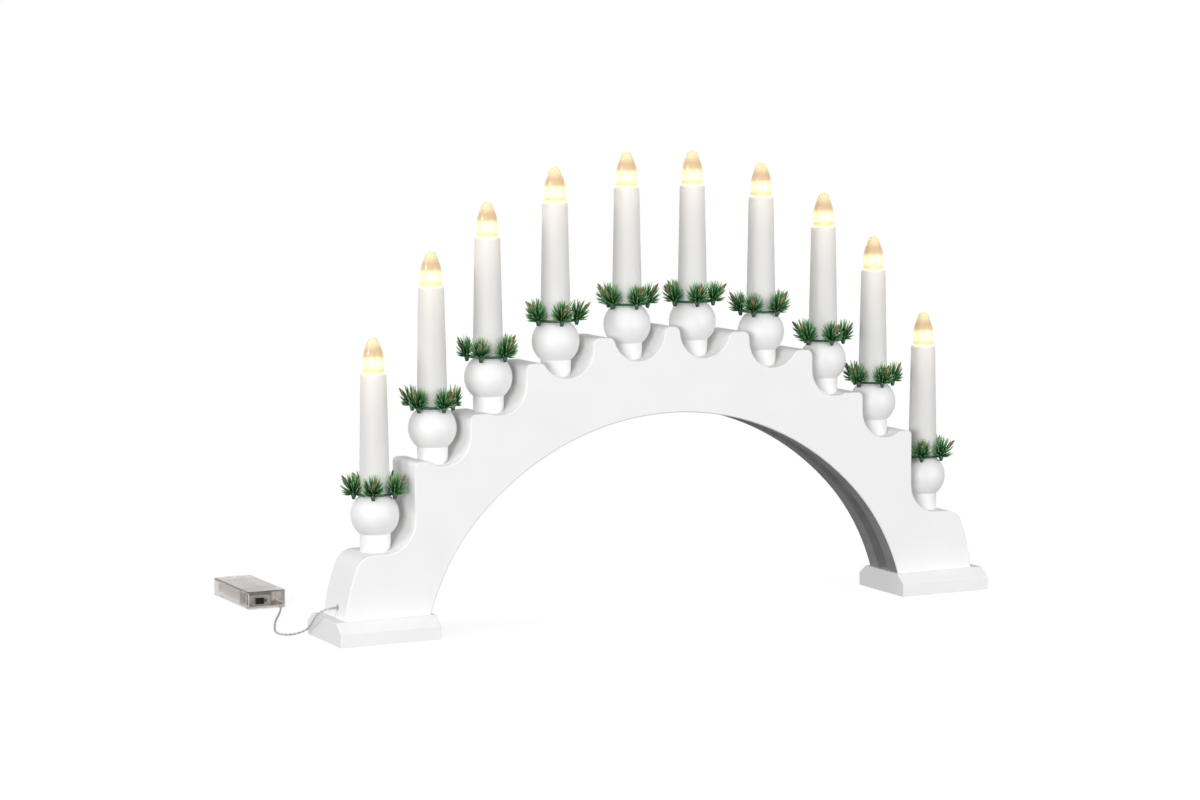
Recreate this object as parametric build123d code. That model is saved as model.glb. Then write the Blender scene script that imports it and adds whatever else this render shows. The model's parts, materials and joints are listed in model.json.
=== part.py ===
# Candle arch: a painted wooden arch board on two feet, ten electric candles with
# loose evergreen rings, and a small battery box on a thin lead.
# Millimetres, +Z up, +X along the arch, front face towards -Y.
# The origin is on the table, under the middle of the arch.

import os
from math import acos, cos, degrees, pi, radians, sin, sqrt, tan

from build123d import *

# Overall fits
overrun = 2.0                 # how far a cutter runs past the face it opens
glue_fit = 0.05               # radial room of a glued or screwed joint
loose_gap = 0.3               # room round a piece that lifts or slides
edge_round = 0.6              # sanded edges of the painted wood

# Feet
foot_margin = 7.5             # outer end of each foot past the leg
foot_length = 71.2
foot_depth = 61.0
foot_height = 15.5
foot_side_height = 9.3        # upright part of the front and back sides
foot_slope_width = 8.6        # sloped part, seen from above

# Arch board outline
board_thickness = 39.0
leg_outset = 29.7             # outer side of the leg on its foot, past the last candle
outer_side_heading = 84.0     # degrees from the table, leaning inwards
outer_side_turn = 16.0        # degrees
outer_side_radius = 126.0
shoulder_radius = 13.3
crown_apex = 140.5            # underside of the arch at the middle
crown_radius = 200.0
crown_half_angle = 46.05      # degrees
inner_outset = 16.6           # widest place of the underside, past the last candle but one

# Candle places from the middle outwards: distance from the middle, ball centre height
candle_reaches = [25.3, 79.5, 129.7, 170.8, 212.8]
ball_heights = [200.9, 191.7, 169.5, 137.7, 82.0]
# Tops of the board between the candles, from the middle outwards
lobe_heights = [199.5, 194.0, 179.0, 147.0, 117.5]
lobe_corner_radii = [4.6, 5.0, 4.6, 3.6, 3.0]
notch_radius = 19.5
notch_drop = 24.0             # bottom of a notch below the ball centre
end_notch_radius = 21.0

# Wiring groove and bores
groove_width = 13.0
groove_depth = 9.0
wire_bore_radius = 3.0
exit_bore_radius = 2.4
exit_offset = -3.3            # across the board
exit_height = 22.3
seat_depth = 2.0              # counterbore below the notch floor

# Candle cup
ball_radius = 16.2
ball_flat_height = 12.0       # flat top above the ball centre
neck_radius = 10.3
cup_bore_radius = 3.0
tenon_radius = 8.55
tenon_height = 5.0

# Candle sleeve
sleeve_base_radius = 10.3
sleeve_top_radius = 8.6
sleeve_length = 81.5
sleeve_wall = 1.6
sleeve_cap = 2.0              # thickness of the closed top
sleeve_edge = 0.7

# Flame bulb
flame_height = 24.3
flame_foot_radius = 6.9
flame_belly_radius = 7.35
flame_belly_height = 7.0
flame_shoulder_radius = 6.5
flame_shoulder_height = 13.8
flame_nose_radius = 4.7       # where the round tip begins
flame_nose_height = 19.3
flame_wall = 0.8
bulb_neck_radius = 4.5
bulb_neck_length = 6.0

# Light unit
led_radius = 2.4
led_body_height = 5.0
led_flange_height = 1.0

# Evergreen ring
ring_radius = 12.2
ring_wire_radius = 0.85
tuft_count = 5
tuft_half_width = 7.2         # along the ring
tuft_half_depth = 4.4         # outwards from the candle
tuft_drop = 1.0               # foot of a tuft below the ring wire's middle
tuft_belly_height = 5.2       # widest place above the ring wire's middle
tuft_height = 12.6            # top above the ring wire's middle
tuft_foot_room = 0.55         # between the wire and the foot of a tuft
tuft_overlap = 0.8            # how far a tuft leans in over the middle of the wire
tuft_foot_share = 0.4         # foot, shoulder and top, of the widest place
tuft_shoulder_share = 0.86
tuft_top_share = 0.5
tuft_shoulder_height_share = 0.84
tuft_shoulder_outset_share = 0.92
tuft_top_outset_share = 0.86
# Turn of each ring about its candle, from the left end, degrees
ring_turns = [27.7, -8.3, 9.7, -26.3, -17.3, 39.7, 3.7, -23.3, -21.3, 19.7]

# Foot screws
screw_radius = 2.0
screw_head_radius = 4.0
screw_head_height = 2.6
screw_length = 36.0
screw_recess = 0.6
screw_insets = [24.0, 52.0]   # from the outer end of the foot
screw_offset = 10.5           # across the foot, one each way

# Wiring
wire_radius = 0.8             # twisted pair
wire_rest_gap = 0.4           # from the roof of the groove
bead_radius = 1.1             # solder bead where wires meet

# Battery box
case_length = 73.0
case_width = 28.3
case_height = 12.8
case_left = -254.3
case_front = 133.0
case_wall = 1.2
case_floor = 0.8
case_lid_thickness = 1.0
case_corner_radius = 3.2
case_edge_radius = 0.45
switch_bay_length = 17.0      # front wall to the front of the cover
panel_recess = 0.5
panel_left = 2.6              # from the case's left side
panel_right = 20.6
panel_low = 1.8
panel_high = 10.8
grip_count = 6
grip_pitch = 2.0
grip_width = 0.9
grip_depth = 0.3
grip_start = 3.9              # from the front of the case
grip_low = 1.6
grip_high = 10.6
guide_rib_width = 1.0
guide_rib_depth = 1.5
peg_radius = 1.0

# Switch
knob_left = 5.6               # from the case's left side
knob_width = 5.8
knob_height = 4.3
knob_low = 3.9
knob_proud = 1.0
knob_travel = 4.0
stem_width = 2.4
stem_height = 2.0
stem_length = 3.4
stem_room = 0.4
switch_body_width = 13.0
switch_body_depth = 5.0
switch_body_height = 6.2
switch_cavity_depth = 3.2

# Circuit board
board_sheet_thickness = 1.0
board_sheet_length = 13.2
board_sheet_side_gap = 0.8
board_sheet_low = 1.9
board_sheet_front = 3.0       # from the front of the case

# Cells and contacts
cell_radius = 5.25
cell_body_length = 43.5
cell_nub_radius = 1.9
cell_nub_length = 1.0
cell_spacing = 11.2
cell_floor_gap = 0.05
plate_thickness = 0.4
plate_width = 8.0
plate_height = 8.0
spring_wire_radius = 0.3
spring_wide_radius = 3.6
spring_narrow_radius = 2.3
spring_turns = 4
spring_rest_gap = 0.1

# Free lead, from the exit in the left leg to the battery box
lead_points = [
    (-240.6, -3.3, 22.3),
    (-248.4, -3.3, 22.5),
    (-254.6, -0.2, 18.8),
    (-254.2, 9.0, 12.6),
    (-253.0, 18.0, 7.8),
    (-253.2, 25.8, 3.2),
    (-261.0, 27.4, 0.9),
    (-268.2, 31.0, 0.9),
    (-268.9, 41.5, 0.9),
    (-262.4, 60.0, 0.9),
    (-252.6, 84.0, 0.9),
    (-240.4, 108.5, 0.9),
    (-232.3, 126.0, 2.4),
    (-232.3, 136.0, 2.4),
]
lead_arc_share = 0.45

# Places worked out from the sizes above
leg_outer = candle_reaches[-1] + leg_outset
foot_end = leg_outer + foot_margin
inner_half_span = candle_reaches[-2] + inner_outset
crown_centre = crown_apex - crown_radius
crown_half_width = crown_radius * sin(radians(crown_half_angle))
inner_side_radius = (inner_half_span - crown_half_width) / (1 - sin(radians(crown_half_angle)))
inner_centre_reach = (crown_radius - inner_side_radius) * sin(radians(crown_half_angle))
inner_centre_height = crown_centre + (crown_radius - inner_side_radius) * cos(
    radians(crown_half_angle)
)
candle_places = [(-x, z) for x, z in zip(reversed(candle_reaches), reversed(ball_heights))]
candle_places += list(zip(candle_reaches, ball_heights))
sleeve_top_height = ball_flat_height + sleeve_length
ring_height = sqrt((ball_radius + ring_wire_radius + loose_gap) ** 2 - ring_radius**2)
groove_wire_inset = groove_depth - wire_radius - wire_rest_gap
case_middle = case_left + case_width / 2
case_back = case_front + case_length
cover_front = case_front + switch_bay_length
rim_height = case_height - case_lid_thickness - loose_gap
bay_front = cover_front + case_wall
bay_back = case_back - case_wall
cell_height = case_floor + cell_floor_gap + cell_radius


def placed(shape, x, y, z):
    """Return a copy of the shape moved by x, y, z."""
    return Pos(x, y, z) * shape


def rod(start, end, radius):
    """Round rod between two points."""
    axis = Vector(*end) - Vector(*start)
    place = Plane(origin=Vector(*start), z_dir=axis)
    return extrude(place * Circle(radius), amount=axis.length)


def block(x_low, x_high, y_low, y_high, z_low, z_high):
    """Rectangular block between two corners."""
    size = (x_high - x_low, y_high - y_low, z_high - z_low)
    middle = Pos((x_low + x_high) / 2, (y_low + y_high) / 2, (z_low + z_high) / 2)
    return middle * Box(*size)


def biarc(start, start_heading, end, end_heading):
    """Two arcs from start to end that leave and arrive along the given headings."""
    chord = end - start
    both = start_heading + end_heading
    square = both.dot(both) - 4
    along = chord.dot(both)
    reach = (along - sqrt(along**2 - square * chord.dot(chord))) / square
    first_corner = start + start_heading * reach
    last_corner = end - end_heading * reach
    joint = (first_corner + last_corner) / 2
    first = TangentArc(start, joint, tangent=start_heading)
    last = TangentArc(joint, end, tangent=last_corner - first_corner)
    return [first, last]


# Arch board


def inner_curve(inset, low):
    """Left half of the arch's underside, set back into the board, down to a height."""
    crown = CenterArc((0, crown_centre), crown_radius + inset, 90, crown_half_angle)
    radius = inner_side_radius + inset
    heading = 180 + crown_half_angle
    end_heading = 360 - degrees(acos((inner_centre_height - low) / radius))
    side = JernArc(crown @ 1, crown % 1, radius, end_heading - heading)
    return [crown, side]


def inner_height(reach, inset):
    """Height of the curve above at a distance from the middle."""
    reach = abs(reach)
    join = (crown_radius + inset) * sin(radians(crown_half_angle))
    if reach <= join:
        return crown_centre + sqrt((crown_radius + inset) ** 2 - reach**2)
    radius = inner_side_radius + inset
    return inner_centre_height + sqrt(radius**2 - (reach - inner_centre_reach) ** 2)


def under_arch(inset, width):
    """Solid that fills the space under the set-back curve, both halves."""
    crown, side = inner_curve(inset, foot_height)
    foot_point = side @ 1
    lines = [crown, side, Line(foot_point, (0, foot_height)), Line((0, foot_height), crown @ 0)]
    half = extrude(Plane.XZ * make_face(lines), amount=width / 2, both=True)
    return half + mirror(half, about=Plane.YZ)


def board_blank():
    """Left half of the board, without notches, grooves and bores."""
    lean = radians(outer_side_heading)
    side = JernArc(
        (-leg_outer, foot_height), (cos(lean), sin(lean)), outer_side_radius, -outer_side_turn
    )
    shoulder = JernArc(side @ 1, side % 1, shoulder_radius, outer_side_turn - outer_side_heading)
    end_x = -candle_reaches[-1]
    floor = (shoulder @ 1).Y
    wall_x = end_x + end_notch_radius
    corner = JernArc((end_x, floor), (1, 0), end_notch_radius, 90)
    lines = [side, shoulder, Line(shoulder @ 1, (end_x, floor)), corner]
    points = [(wall_x, floor + end_notch_radius)]
    for reach, height, next_height in zip(
        reversed(candle_reaches[:-1]), reversed(lobe_heights[1:]), reversed(lobe_heights[:-1])
    ):
        points += [(points[-1][0], height), (-reach, height)]
    points += [(points[-1][0], lobe_heights[0]), (0, lobe_heights[0])]
    crown, inner_side = inner_curve(0, foot_height)
    points.append((0, crown_apex))
    lines += [Line(a, b) for a, b in zip(points, points[1:])]
    lines += [crown, inner_side, Line(inner_side @ 1, side @ 0)]
    return extrude(Plane.XZ * make_face(lines), amount=board_thickness / 2, both=True)


def make_board():
    left = board_blank()
    for reach, height in zip(candle_reaches[:-1], ball_heights[:-1]):
        centre = height - notch_drop + notch_radius
        tall = lobe_heights[0] - centre + overrun
        round_end = rod(
            (-reach, -board_thickness, centre), (-reach, board_thickness, centre), notch_radius
        )
        slot = block(
            -reach - notch_radius,
            -reach + notch_radius,
            -board_thickness,
            board_thickness,
            centre,
            centre + tall,
        )
        left = left - round_end - slot
    board = left + mirror(left, about=Plane.YZ)
    for height, radius in zip(lobe_heights, lobe_corner_radii):
        tops = [
            edge
            for edge in board.edges().filter_by(Axis.Y)
            if abs(edge.center().Z - height) < glue_fit
        ]
        board = board.fillet(radius, tops)
    rims = [
        edge
        for edge in board.edges()
        if abs(abs(edge.center().Y) - board_thickness / 2) < glue_fit
        and edge.center().Z > foot_height + glue_fit
    ]
    board = board.chamfer(edge_round, None, rims)
    board -= under_arch(groove_depth, groove_width)
    for x, height in candle_places:
        seat = height - notch_drop - seat_depth
        low = exit_height if abs(x) == candle_reaches[-1] else inner_height(x, groove_wire_inset)
        board -= rod((x, 0, seat), (x, 0, height), neck_radius + glue_fit)
        board -= rod((x, 0, low - overrun), (x, 0, seat), wire_bore_radius)
    groove_x = wire_turn_reach()
    board -= rod(
        (-leg_outer - overrun, exit_offset, exit_height),
        (-groove_x + overrun, exit_offset, exit_height),
        exit_bore_radius,
    )
    board -= rod(
        (groove_x - overrun, exit_offset, exit_height),
        (candle_reaches[-1] + wire_bore_radius, exit_offset, exit_height),
        exit_bore_radius,
    )
    for x, y in screw_places():
        board -= rod(
            (x, y, 0), (x, y, screw_recess + screw_length + overrun), screw_radius + glue_fit
        )
    return board


# Feet and their screws


def screw_places():
    """Middle of each screw, seen from above."""
    places = []
    for side in (-1, 1):
        for inset, across in zip(screw_insets, (-screw_offset, screw_offset)):
            places.append((side * (foot_end - inset), across))
    return places


def screw_profile(room):
    """Half outline of a countersunk screw, with room round it."""
    head = screw_head_radius + room
    shank = screw_radius + room
    low = screw_recess
    top = low + screw_length
    return [
        (0, low),
        (head, low),
        (shank, low + screw_head_height),
        (shank, top - 2 * screw_radius),
        (0, top),
    ]


def turned(points):
    """Solid turned about the upright axis from a closed half outline."""
    return revolve(Plane.XZ * make_face(Polyline(*points, close=True)), axis=Axis.Z)


def make_foot(side):
    half = foot_depth / 2
    flat = half - foot_slope_width
    outline = [
        (-half, 0),
        (half, 0),
        (half, foot_side_height),
        (flat, foot_height),
        (-flat, foot_height),
        (-half, foot_side_height),
    ]
    end = Plane(origin=(foot_end - foot_length, 0, 0), x_dir=(0, 1, 0), z_dir=(1, 0, 0))
    foot = extrude(end * make_face(Polyline(*outline, close=True)), amount=foot_length)
    foot = foot.fillet(edge_round, foot.edges().filter_by(lambda edge: edge.center().Z > glue_fit))
    if side < 0:
        foot = mirror(foot, about=Plane.YZ)
    screw_hole = turned(screw_profile(glue_fit))
    head_hole = rod((0, 0, -overrun), (0, 0, screw_recess), screw_head_radius + glue_fit)
    for x, y in screw_places():
        if x * side > 0:
            foot -= placed(screw_hole + head_hole, x, y, 0)
    return foot


def make_screws():
    screw = turned(screw_profile(0))
    slot_width = screw_radius / 2
    slot = block(
        -screw_radius,
        screw_radius,
        -slot_width / 2,
        slot_width / 2,
        screw_recess,
        screw_recess + screw_head_height / 2,
    )
    cross = slot + Rot(0, 0, 90) * slot
    screw = screw - cross
    return [placed(screw, x, y, 0) for x, y in screw_places()]


# Candle pieces, each made about its own upright axis with the ball centre at zero


def make_cup():
    foot = -notch_drop - seat_depth
    neck_top = -sqrt(ball_radius**2 - neck_radius**2)
    flat_radius = sqrt(ball_radius**2 - ball_flat_height**2)
    tenon_top = ball_flat_height + tenon_height
    belly = ThreePointArc((neck_radius, neck_top), (ball_radius, 0), (flat_radius, ball_flat_height))
    path = Polyline(
        (flat_radius, ball_flat_height),
        (tenon_radius, ball_flat_height),
        (tenon_radius, tenon_top),
        (cup_bore_radius, tenon_top),
        (cup_bore_radius, foot),
        (neck_radius, foot),
        (neck_radius, neck_top),
    )
    return revolve(Plane.XZ * make_face([belly, path]), axis=Axis.Z)


def make_sleeve():
    inner_base = sleeve_base_radius - sleeve_wall
    inner_top = sleeve_top_radius - sleeve_wall
    hole = bulb_neck_radius + glue_fit
    low = ball_flat_height
    top = sleeve_top_height
    outline = [
        (sleeve_base_radius, low),
        (sleeve_top_radius, top - sleeve_edge),
        (sleeve_top_radius - sleeve_edge, top),
        (hole, top),
        (hole, top - sleeve_cap),
        (inner_top, top - sleeve_cap),
        (inner_base, low),
    ]
    return turned(outline)


def flame_outline(wall):
    """Edges of the flame's half outline, set in by the wall, from its foot to its tip."""
    foot = (flame_foot_radius - wall, wall)
    belly = (flame_belly_radius - wall, flame_belly_height)
    shoulder = (flame_shoulder_radius - wall, flame_shoulder_height)
    nose = (flame_nose_radius - wall, flame_nose_height - wall / 2)
    lower = ThreePointArc(foot, belly, shoulder)
    upper = Spline(shoulder, nose, (0, flame_height - wall), tangents=[lower % 1, (-1, 0)])
    return [lower, upper]


def make_bulb():
    skin = flame_outline(0)
    core = flame_outline(flame_wall)
    bore = bulb_neck_radius - 1.25 * flame_wall
    outer_path = Polyline(
        (0, flame_height), (0, -bulb_neck_length), (bulb_neck_radius, -bulb_neck_length),
        (bulb_neck_radius, 0), (flame_foot_radius, 0),
    )
    core_top = flame_height - flame_wall
    inner_path = Polyline(
        (0, core_top), (0, -bulb_neck_length), (bore, -bulb_neck_length),
        (bore, flame_wall), (flame_foot_radius - flame_wall, flame_wall),
    )
    outer = revolve(Plane.XZ * make_face(skin + [outer_path]), axis=Axis.Z)
    inner = revolve(Plane.XZ * make_face(core + [inner_path]), axis=Axis.Z)
    return placed(outer - inner, 0, 0, sleeve_top_height)


def make_led():
    flange_radius = bulb_neck_radius - 1.25 * flame_wall - glue_fit
    dome = JernArc((led_radius, led_flange_height + led_body_height), (0, 1), led_radius, 90)
    path = Polyline(
        dome @ 1,
        (0, 0),
        (flange_radius, 0),
        (flange_radius, led_flange_height),
        (led_radius, led_flange_height),
        dome @ 0,
    )
    led = revolve(Plane.XZ * make_face([dome, path]), axis=Axis.Z)
    return placed(led, 0, 0, sleeve_top_height - bulb_neck_length)


# Evergreen ring


def tuft_sections():
    """Height, distance outside the ring and size of each section of a tuft, from the foot."""
    foot_outset = ring_wire_radius + tuft_foot_room + tuft_half_depth * tuft_foot_share
    outset = tuft_half_depth - tuft_overlap
    shoulder_height = tuft_height * tuft_shoulder_height_share
    return [
        (-tuft_drop, foot_outset, tuft_foot_share),
        (tuft_belly_height, outset, 1),
        (shoulder_height, outset * tuft_shoulder_outset_share, tuft_shoulder_share),
        (tuft_height, outset * tuft_top_outset_share, tuft_top_share),
    ]


def make_ring_pieces():
    """The wire ring and its five tufts of needles, about the candle's axis."""
    ring = revolve(Plane.XZ * Pos(ring_radius, 0) * Circle(ring_wire_radius), axis=Axis.Z)
    ellipses = [
        Pos(ring_radius + outset, 0, height)
        * Ellipse(tuft_half_depth * share, tuft_half_width * share)
        for height, outset, share in tuft_sections()
    ]
    tuft = loft(ellipses, ruled=True)
    pieces = [ring]
    for number in range(tuft_count):
        pieces.append(Rot(0, 0, number * 360 / tuft_count) * tuft)
    return [placed(piece, 0, 0, ring_height) for piece in pieces]


# Wiring


def wire_turn_reach():
    """Where the groove's wire turns into the level bore, from the middle."""
    radius = inner_side_radius + groove_wire_inset
    return inner_centre_reach + sqrt(radius**2 - (exit_height - inner_centre_height) ** 2)


def make_harness():
    """Pair along the groove, a riser into each candle and level runs in the legs."""
    crown, side = inner_curve(groove_wire_inset, exit_height)
    start = (crown @ 0).Y
    section = Plane(origin=(0, 0, start), z_dir=(-1, 0, 0)) * Circle(wire_radius)
    path = Plane.XZ * Wire([crown, side])
    half = sweep(section, path=path)
    main = placed(half + mirror(half, about=Plane.YZ), 0, exit_offset, 0)
    turn_x = wire_turn_reach()
    bead = Sphere(bead_radius)
    runs = [
        rod((-turn_x, exit_offset, exit_height), lead_points[0], wire_radius),
        rod(
            (turn_x, exit_offset, exit_height),
            (candle_reaches[-1], exit_offset, exit_height),
            wire_radius,
        ),
    ]
    runs += [placed(bead, x, exit_offset, exit_height) for x in (-turn_x, turn_x)]
    for x, height in candle_places:
        at_end = abs(x) == candle_reaches[-1]
        low = exit_height if at_end else inner_height(x, groove_wire_inset)
        top = height + sleeve_top_height - bulb_neck_length
        runs.append(rod((x, 0, low), (x, 0, top), wire_radius))
        runs.append(rod((x, exit_offset, low), (x, 0, low), wire_radius))
        runs.append(placed(bead, x, 0, low))
        runs.append(placed(bead, x, exit_offset, low))
    return main.fuse(*runs)


def make_lead():
    """Free tube: straight runs joined by arcs as large as the runs allow."""
    points = [Vector(*point) for point in lead_points]
    radii = []
    for before, here, after in zip(points, points[1:], points[2:]):
        turn = (here - before).get_angle(after - here)
        shorter = min((here - before).length, (after - here).length)
        radii.append(lead_arc_share * shorter / tan(radians(turn) / 2))
    route = FilletPolyline(*points, radius=radii)
    section = Plane(origin=points[0], z_dir=points[1] - points[0]) * Circle(wire_radius)
    tube = sweep(section, path=route)
    ideal = pi * wire_radius**2 * route.length
    print("lead radii", [round(radius, 1) for radius in radii])
    print("lead length", round(route.length, 1), "volume share", round(tube.volume / ideal, 4))
    return tube


# Battery box


def case_outer():
    """Whole outside of the battery box, cover included."""
    box = block(case_left, case_left + case_width, case_front, case_back, 0, case_height)
    box = box.fillet(case_corner_radius, box.edges().filter_by(Axis.Z))
    ends = [face for face in box.faces() if abs(face.normal_at().Z) > 0.5]
    rims = [edge for face in ends for edge in face.edges()]
    return box.fillet(2 * case_edge_radius, rims)


def knob_middle():
    return case_left + knob_left + knob_width / 2


def make_case(outer):
    right = case_left + case_width
    case = outer - block(
        case_left - overrun, right + overrun, cover_front, case_back + overrun,
        rim_height, case_height + overrun,
    )
    left_inside = case_left + case_wall
    right_inside = right - case_wall
    case -= block(
        left_inside, right_inside, bay_front, bay_back, case_floor, case_height + overrun
    )
    case -= block(
        left_inside, right_inside, case_front + case_wall, cover_front,
        case_floor, case_height - case_lid_thickness,
    )
    case -= block(
        case_left + panel_left, case_left + panel_right, case_front - overrun,
        case_front + panel_recess, panel_low, panel_high,
    )
    middle = knob_middle()
    slot_middle = knob_low + knob_height / 2
    case -= block(
        middle - stem_width / 2 - stem_room,
        middle + stem_width / 2 + knob_travel + stem_room,
        case_front - overrun,
        case_front + case_wall + overrun,
        slot_middle - stem_height / 2 - stem_room,
        slot_middle + stem_height / 2 + stem_room,
    )
    for number in range(grip_count):
        y = case_front + grip_start + number * grip_pitch
        for x in (case_left, right):
            case -= block(
                x - grip_depth, x + grip_depth, y, y + grip_width, grip_low, grip_high
            )
    for x in guide_rib_lows():
        case -= block(
            x - loose_gap, x + guide_rib_width + loose_gap, bay_back - overrun,
            case_back + overrun, rim_height - guide_rib_depth - loose_gap,
            case_height,
        )
    x, y, z = lead_points[-1]
    case -= rod((x, case_front - overrun, z), (x, y, z), wire_radius + glue_fit)
    for x, y in board_peg_places():
        case += rod((x, y, 0), (x, y, board_sheet_low), peg_radius)
    return case


def guide_rib_lows():
    """Left side of each guide rib under the cover."""
    inside = case_wall + loose_gap
    return [case_left + inside, case_left + case_width - inside - guide_rib_width]


def make_cover(outer):
    cover = outer & block(
        case_left - overrun, case_left + case_width + overrun, cover_front + loose_gap,
        case_back + overrun, rim_height + loose_gap, case_height + overrun,
    )
    low = rim_height + loose_gap - guide_rib_depth
    for x in guide_rib_lows():
        cover += block(
            x, x + guide_rib_width, bay_front + loose_gap, bay_back - loose_gap,
            low, rim_height + loose_gap,
        )
    return cover


def board_sheet_box():
    """Corners of the circuit board: x low, x high, y low, y high."""
    return (
        case_left + case_wall + board_sheet_side_gap,
        case_left + case_width - case_wall - board_sheet_side_gap,
        case_front + board_sheet_front,
        case_front + board_sheet_front + board_sheet_length,
    )


def board_peg_places():
    x_low, x_high, y_low, y_high = board_sheet_box()
    inset = 1.5 * peg_radius
    return [
        (x, y) for x in (x_low + inset, x_high - inset) for y in (y_low + inset, y_high - inset)
    ]


def make_circuit_board():
    x_low, x_high, y_low, y_high = board_sheet_box()
    return block(
        x_low, x_high, y_low, y_high, board_sheet_low, board_sheet_low + board_sheet_thickness
    )


def make_switch_body():
    middle = knob_middle() + knob_travel / 2
    front = case_front + case_wall + loose_gap
    low = board_sheet_low + board_sheet_thickness
    body = block(
        middle - switch_body_width / 2, middle + switch_body_width / 2,
        front, front + switch_body_depth, low, low + switch_body_height,
    )
    slot_middle = knob_low + knob_height / 2
    return body - block(
        middle - (knob_travel + stem_width) / 2 - stem_room,
        middle + (knob_travel + stem_width) / 2 + stem_room,
        front - overrun,
        front + switch_cavity_depth,
        slot_middle - stem_height / 2 - loose_gap,
        slot_middle + stem_height / 2 + loose_gap,
    )


def make_knob():
    middle = knob_middle()
    panel = case_front + panel_recess
    cap = block(
        middle - knob_width / 2, middle + knob_width / 2,
        panel - loose_gap - knob_proud, panel - loose_gap,
        knob_low, knob_low + knob_height,
    )
    rib_width = knob_width / 7
    for number in range(3):
        x = middle + (number - 1) * 2 * rib_width
        cap -= block(
            x - rib_width / 2, x + rib_width / 2,
            panel - loose_gap - knob_proud - overrun, panel - loose_gap - knob_proud / 2,
            knob_low, knob_low + knob_height,
        )
    slot_middle = knob_low + knob_height / 2
    stem = block(
        middle - stem_width / 2, middle + stem_width / 2,
        panel - loose_gap, panel - loose_gap + stem_length,
        slot_middle - stem_height / 2, slot_middle + stem_height / 2,
    )
    return cap + stem


def cell_places():
    """Cell axis, and which way its button points: -1 to the front, 1 to the back."""
    return [(case_middle - cell_spacing / 2, -1), (case_middle + cell_spacing / 2, 1)]


def make_cells():
    cells = []
    for x, way in cell_places():
        button_end = bay_front + plate_thickness if way < 0 else bay_back - plate_thickness
        shoulder = button_end - way * cell_nub_length
        flat_end = shoulder - way * cell_body_length
        body = rod((x, shoulder, cell_height), (x, flat_end, cell_height), cell_radius)
        cells.append(
            body + rod((x, button_end, cell_height), (x, shoulder, cell_height), cell_nub_radius)
        )
    return cells


def make_contact_plates():
    low = cell_height - plate_height / 2
    plates = []
    for x, _ in cell_places():
        plates.append(
            block(
                x - plate_width / 2, x + plate_width / 2, bay_front,
                bay_front + plate_thickness, low, low + plate_height,
            )
        )
    plates.append(
        block(
            cell_places()[0][0] - plate_width / 2, cell_places()[1][0] + plate_width / 2,
            bay_back - plate_thickness, bay_back, low, low + plate_height,
        )
    )
    return plates


def make_spring():
    """Coned coil along +Z, from its plate at zero to the flat end of a cell."""
    room = bay_back - bay_front - 2 * plate_thickness - cell_nub_length - cell_body_length
    low = spring_rest_gap + spring_wire_radius
    high = room - spring_rest_gap - spring_wire_radius
    quarters = 4 * spring_turns
    rise = (high - low) / (2 * pi * spring_turns)
    shrink = (spring_narrow_radius - spring_wide_radius) / (2 * pi * spring_turns)

    def place(turn):
        radius = spring_wide_radius + shrink * turn
        return Vector(radius * cos(turn), radius * sin(turn), low + rise * turn)

    def heading(turn):
        radius = spring_wide_radius + shrink * turn
        return Vector(
            shrink * cos(turn) - radius * sin(turn), shrink * sin(turn) + radius * cos(turn), rise
        ).normalized()

    turns = [number * pi / 2 for number in range(quarters + 1)]
    arcs = []
    for first, last in zip(turns, turns[1:]):
        arcs += biarc(place(first), heading(first), place(last), heading(last))
    samples = [place(number * pi / 40) for number in range(80 * spring_turns + 1)]
    gaps = [
        (samples[index] - other).length - 2 * spring_wire_radius
        for index in range(len(samples))
        for other in samples[index + 60:]
    ]
    print("spring least gap to itself", round(min(gaps), 2))
    section = Plane(origin=place(0), z_dir=heading(0)) * Circle(spring_wire_radius)
    return sweep(section, path=Wire(arcs))


def make_springs():
    spring = make_spring()
    springs = []
    for x, way in cell_places():
        if way < 0:
            plate = Plane(origin=(x, bay_back - plate_thickness, cell_height), z_dir=(0, -1, 0))
        else:
            plate = Plane(origin=(x, bay_front + plate_thickness, cell_height), z_dir=(0, 1, 0))
        springs.append(plate.location * spring)
    return springs


# Build every piece and write it under its name


def all_pieces():
    pieces = {
        "arch_board": [make_board()],
        "left_foot": [make_foot(-1)],
        "right_foot": [make_foot(1)],
        "foot_screws": make_screws(),
    }
    singles = {
        "candle_cup": [make_cup()],
        "candle_sleeve": [make_sleeve()],
        "flame_bulb": [make_bulb()],
    }
    ring_pieces = make_ring_pieces()
    led = make_led()
    leds = []
    for number, (x, height) in enumerate(candle_places):
        for name, solids in singles.items():
            pieces[f"{name}_{number + 1:02d}"] = [placed(solid, x, 0, height) for solid in solids]
        turn = Rot(0, 0, ring_turns[number])
        wreath = [placed(turn * solid, x, 0, height) for solid in ring_pieces]
        pieces[f"wreath_{number + 1:02d}"] = wreath
        leds.append(placed(led, x, 0, height))
    pieces["led_units"] = leds
    pieces["wiring_harness"] = [make_harness()]
    pieces["supply_lead"] = [make_lead()]
    outer = case_outer()
    pieces["battery_case"] = [make_case(outer)]
    pieces["battery_cover"] = [make_cover(outer)]
    pieces["switch_knob"] = [make_knob()]
    pieces["switch_body"] = [make_switch_body()]
    pieces["circuit_board"] = [make_circuit_board()]
    pieces["battery_cells"] = make_cells()
    pieces["contact_springs"] = make_springs()
    pieces["contact_plates"] = make_contact_plates()
    return pieces


os.makedirs("parts", exist_ok=True)
for name, solids in all_pieces().items():
    shape = solids[0] if len(solids) == 1 else Compound(children=solids)
    export_step(shape, f"parts/{name}.step")
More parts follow.
